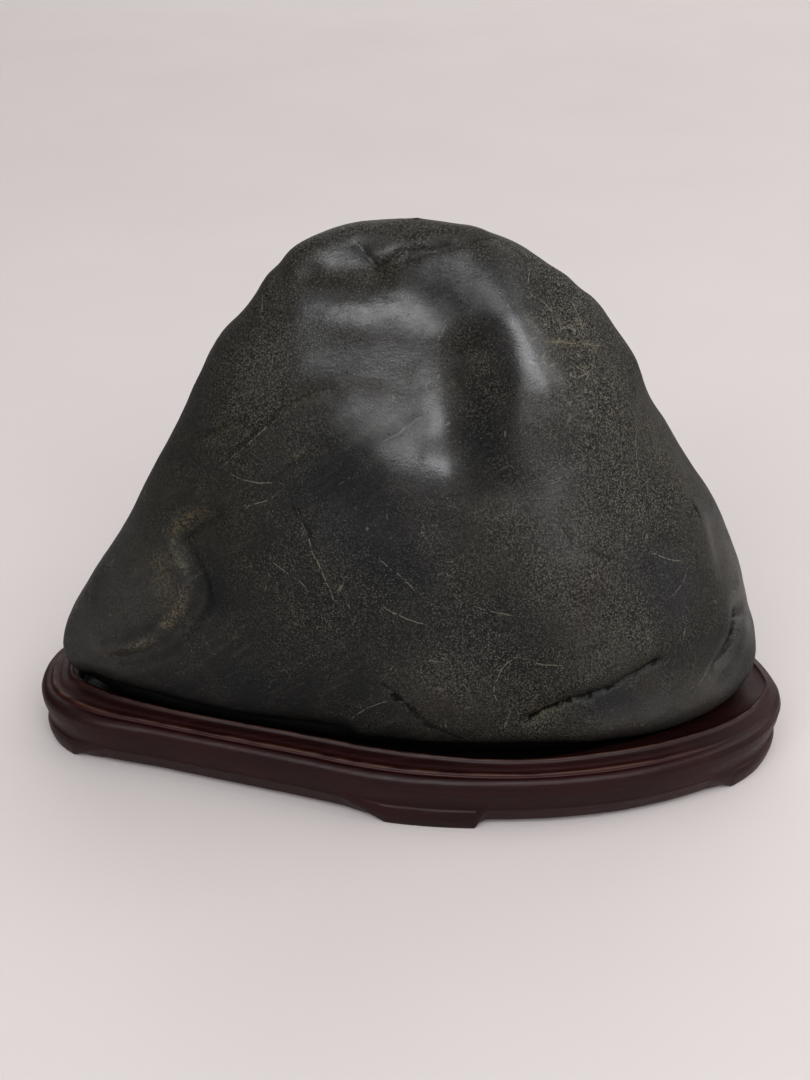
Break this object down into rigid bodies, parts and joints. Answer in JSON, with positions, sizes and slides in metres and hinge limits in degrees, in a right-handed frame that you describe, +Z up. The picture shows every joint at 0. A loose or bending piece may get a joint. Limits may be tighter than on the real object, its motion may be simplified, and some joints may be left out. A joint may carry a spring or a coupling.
{
  "type": "scholars rock",
  "caption": "Natural dark water-worn stone, shaped like a mountain with a smooth valley under its summit, resting in a carved stained wooden stand.",
  "frame": {"origin": "on the table, at the middle of the box round the whole object", "axes": "+X along the stand to the right as seen from the front, +Y from the front to the back, +Z up"},
  "size_m": [0.3002, 0.1346, 0.2128],
  "materials": {
    "stone": "waxed satin, finely pitted",
    "stand": "dark reddish-brown stain, satin lacquer"
  },
  "bodies": {
    "root": {"stone": "stone", "stand": "stand"}
  },
  "joints": []
}
